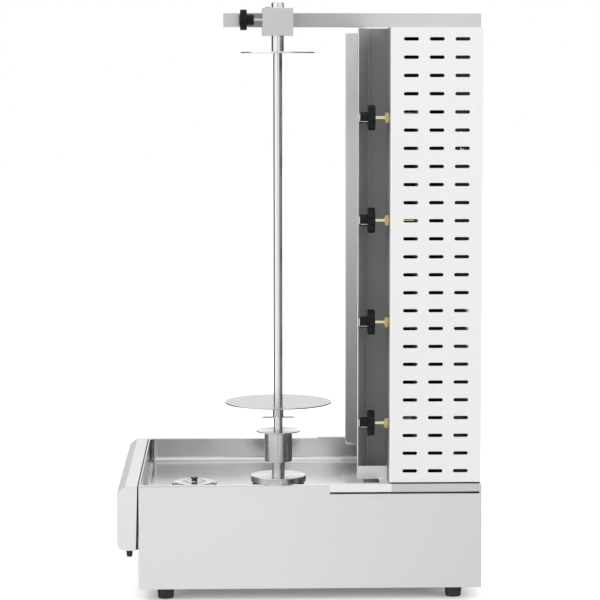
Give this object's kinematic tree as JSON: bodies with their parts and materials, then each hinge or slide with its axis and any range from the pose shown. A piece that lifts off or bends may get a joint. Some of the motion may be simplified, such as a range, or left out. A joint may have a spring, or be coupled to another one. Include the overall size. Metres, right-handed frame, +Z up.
{
  "type": "gas doner kebab grill",
  "caption": "Upright gas grill with a motor driven spit over a deep basin, a fat drawer, and a burner tower that slides on the basin's rims.",
  "frame": {"origin": "the middle of the overall width and depth, on the surface that the feet stand on", "axes": "+Z up along the spit, -Y to the front where the drawer opens, +X to the side of the taps"},
  "size_m": [0.5296, 0.643, 1.018],
  "materials": {
    "satin_steel": "satin",
    "basin_steel": "polished",
    "bright_steel": "bright",
    "inner_steel": "satin",
    "turned_steel": "turned",
    "block_metal": "satin",
    "dark_screw": "blackened",
    "black_plastic": "moulded",
    "switch_red": "glossy",
    "black_rubber": "matt",
    "brass": "machined",
    "motor_black": "painted",
    "gearbox_metal": "cast",
    "burner_steel": "plain",
    "plaque": "porous",
    "guard_wire": "plain",
    "pipe_metal": "zinc plated"
  },
  "bodies": {
    "base": {"base_shell": "satin_steel", "base_floor_pan": "satin_steel", "basin": "basin_steel", "drain_tail": "basin_steel", "drawer_runners": "inner_steel", "feet": "black_rubber", "gear_motor": "motor_black", "gearbox": "gearbox_metal", "switch_housing": "black_plastic", "supply_gland": "black_plastic", "shaft_gasket": "turned_steel", "bearing_flange": "turned_steel", "arm_post": "satin_steel", "arm_beam": "satin_steel", "post_cleats": "satin_steel", "clamp_block": "block_metal", "clamp_set_screw": "dark_screw"},
    "drawer": {"drawer_box": "inner_steel", "drawer_front": "satin_steel", "drawer_bumpers": "black_rubber", "drawer_seals": "black_rubber"},
    "basket": {"strainer_basket": "basin_steel"},
    "rocker": {"switch_rocker": "switch_red"},
    "drive": {"drive_shaft": "turned_steel", "drive_socket": "turned_steel"},
    "spit": {"spit_rod": "turned_steel", "cross_pin": "turned_steel"},
    "meat_disc": {"lower_disc": "turned_steel"},
    "guide": {"guide_sleeve": "turned_steel"},
    "lock": {"lock_screw": "turned_steel", "lock_knob": "black_plastic"},
    "tower": {"tower_side_right": "bright_steel", "tower_side_left": "bright_steel", "tower_back_panel": "bright_steel", "tower_lid": "bright_steel", "tower_carriage": "satin_steel", "inner_shields": "inner_steel", "burner_wing_right": "bright_steel", "burner_wing_left": "bright_steel", "burner_guards": "guard_wire", "ceramic_plaques": "plaque", "burner_1": "burner_steel", "burner_2": "burner_steel", "burner_3": "burner_steel", "burner_4": "burner_steel", "gas_manifold": "pipe_metal", "injector_pipes": "pipe_metal", "gas_taps": "brass", "tap_nuts": "brass"},
    "tap_plug_1": {"tap_plug_1": "brass"},
    "knob_1": {"tap_stem_1": "brass", "burner_knob_1": "black_plastic"},
    "tap_plug_2": {"tap_plug_2": "brass"},
    "knob_2": {"tap_stem_2": "brass", "burner_knob_2": "black_plastic"},
    "tap_plug_3": {"tap_plug_3": "brass"},
    "knob_3": {"tap_stem_3": "brass", "burner_knob_3": "black_plastic"},
    "tap_plug_4": {"tap_plug_4": "brass"},
    "knob_4": {"tap_stem_4": "brass", "burner_knob_4": "black_plastic"}
  },
  "joints": [
    {"name": "drawer_slide", "type": "slide", "parent": "base", "child": "drawer", "axis": [0, -1, 0], "range_m": [0, 0.15]},
    {"name": "basket_lift", "type": "slide", "parent": "base", "child": "basket", "axis": [0, 0, 1], "range_m": [0, 0.05]},
    {"name": "switch_rock", "type": "hinge", "parent": "base", "child": "rocker", "pos_m": [-0.17, 0.2965, 0.12], "axis": [1, 0, 0], "range_deg": [-18, 0]},
    {"name": "spit_turn", "type": "hinge", "parent": "base", "child": "drive", "pos_m": [0, -0.043, 0.2], "axis": [0, 0, 1], "continuous": true},
    {"name": "spit_lift", "type": "slide", "parent": "drive", "child": "spit", "axis": [0, 0, 1], "range_m": [0, 0.015]},
    {"name": "disc_lift", "type": "slide", "parent": "spit", "child": "meat_disc", "axis": [0, 0, 1], "range_m": [0, 0.6]},
    {"name": "guide_slide", "type": "slide", "parent": "base", "child": "guide", "axis": [0, 0, 1], "range_m": [-0.01, 0.028]},
    {"name": "lock_turn", "type": "hinge", "parent": "base", "child": "lock", "pos_m": [0, -0.093, 0.9868], "axis": [0, -1, 0], "range_deg": [0, 360]},
    {"name": "tower_slide", "type": "slide", "parent": "base", "child": "tower", "axis": [0, -1, 0], "range_m": [0, 0.05]},
    {"name": "tap_turn_1", "type": "hinge", "parent": "tower", "child": "tap_plug_1", "pos_m": [0.235, 0.1325, 0.2995], "axis": [0, -1, 0], "range_deg": [0, 180]},
    {"name": "tap_push_1", "type": "slide", "parent": "tap_plug_1", "child": "knob_1", "axis": [0, 1, 0], "range_m": [0, 0.004], "stiffness_N_per_m": 1500, "springref_m": -0.002},
    {"name": "tap_turn_2", "type": "hinge", "parent": "tower", "child": "tap_plug_2", "pos_m": [0.235, 0.1325, 0.472], "axis": [0, -1, 0], "range_deg": [0, 180]},
    {"name": "tap_push_2", "type": "slide", "parent": "tap_plug_2", "child": "knob_2", "axis": [0, 1, 0], "range_m": [0, 0.004], "stiffness_N_per_m": 1500, "springref_m": -0.002},
    {"name": "tap_turn_3", "type": "hinge", "parent": "tower", "child": "tap_plug_3", "pos_m": [0.235, 0.1325, 0.6445], "axis": [0, -1, 0], "range_deg": [0, 180]},
    {"name": "tap_push_3", "type": "slide", "parent": "tap_plug_3", "child": "knob_3", "axis": [0, 1, 0], "range_m": [0, 0.004], "stiffness_N_per_m": 1500, "springref_m": -0.002},
    {"name": "tap_turn_4", "type": "hinge", "parent": "tower", "child": "tap_plug_4", "pos_m": [0.235, 0.1325, 0.817], "axis": [0, -1, 0], "range_deg": [0, 180]},
    {"name": "tap_push_4", "type": "slide", "parent": "tap_plug_4", "child": "knob_4", "axis": [0, 1, 0], "range_m": [0, 0.004], "stiffness_N_per_m": 1500, "springref_m": -0.002}
  ]
}
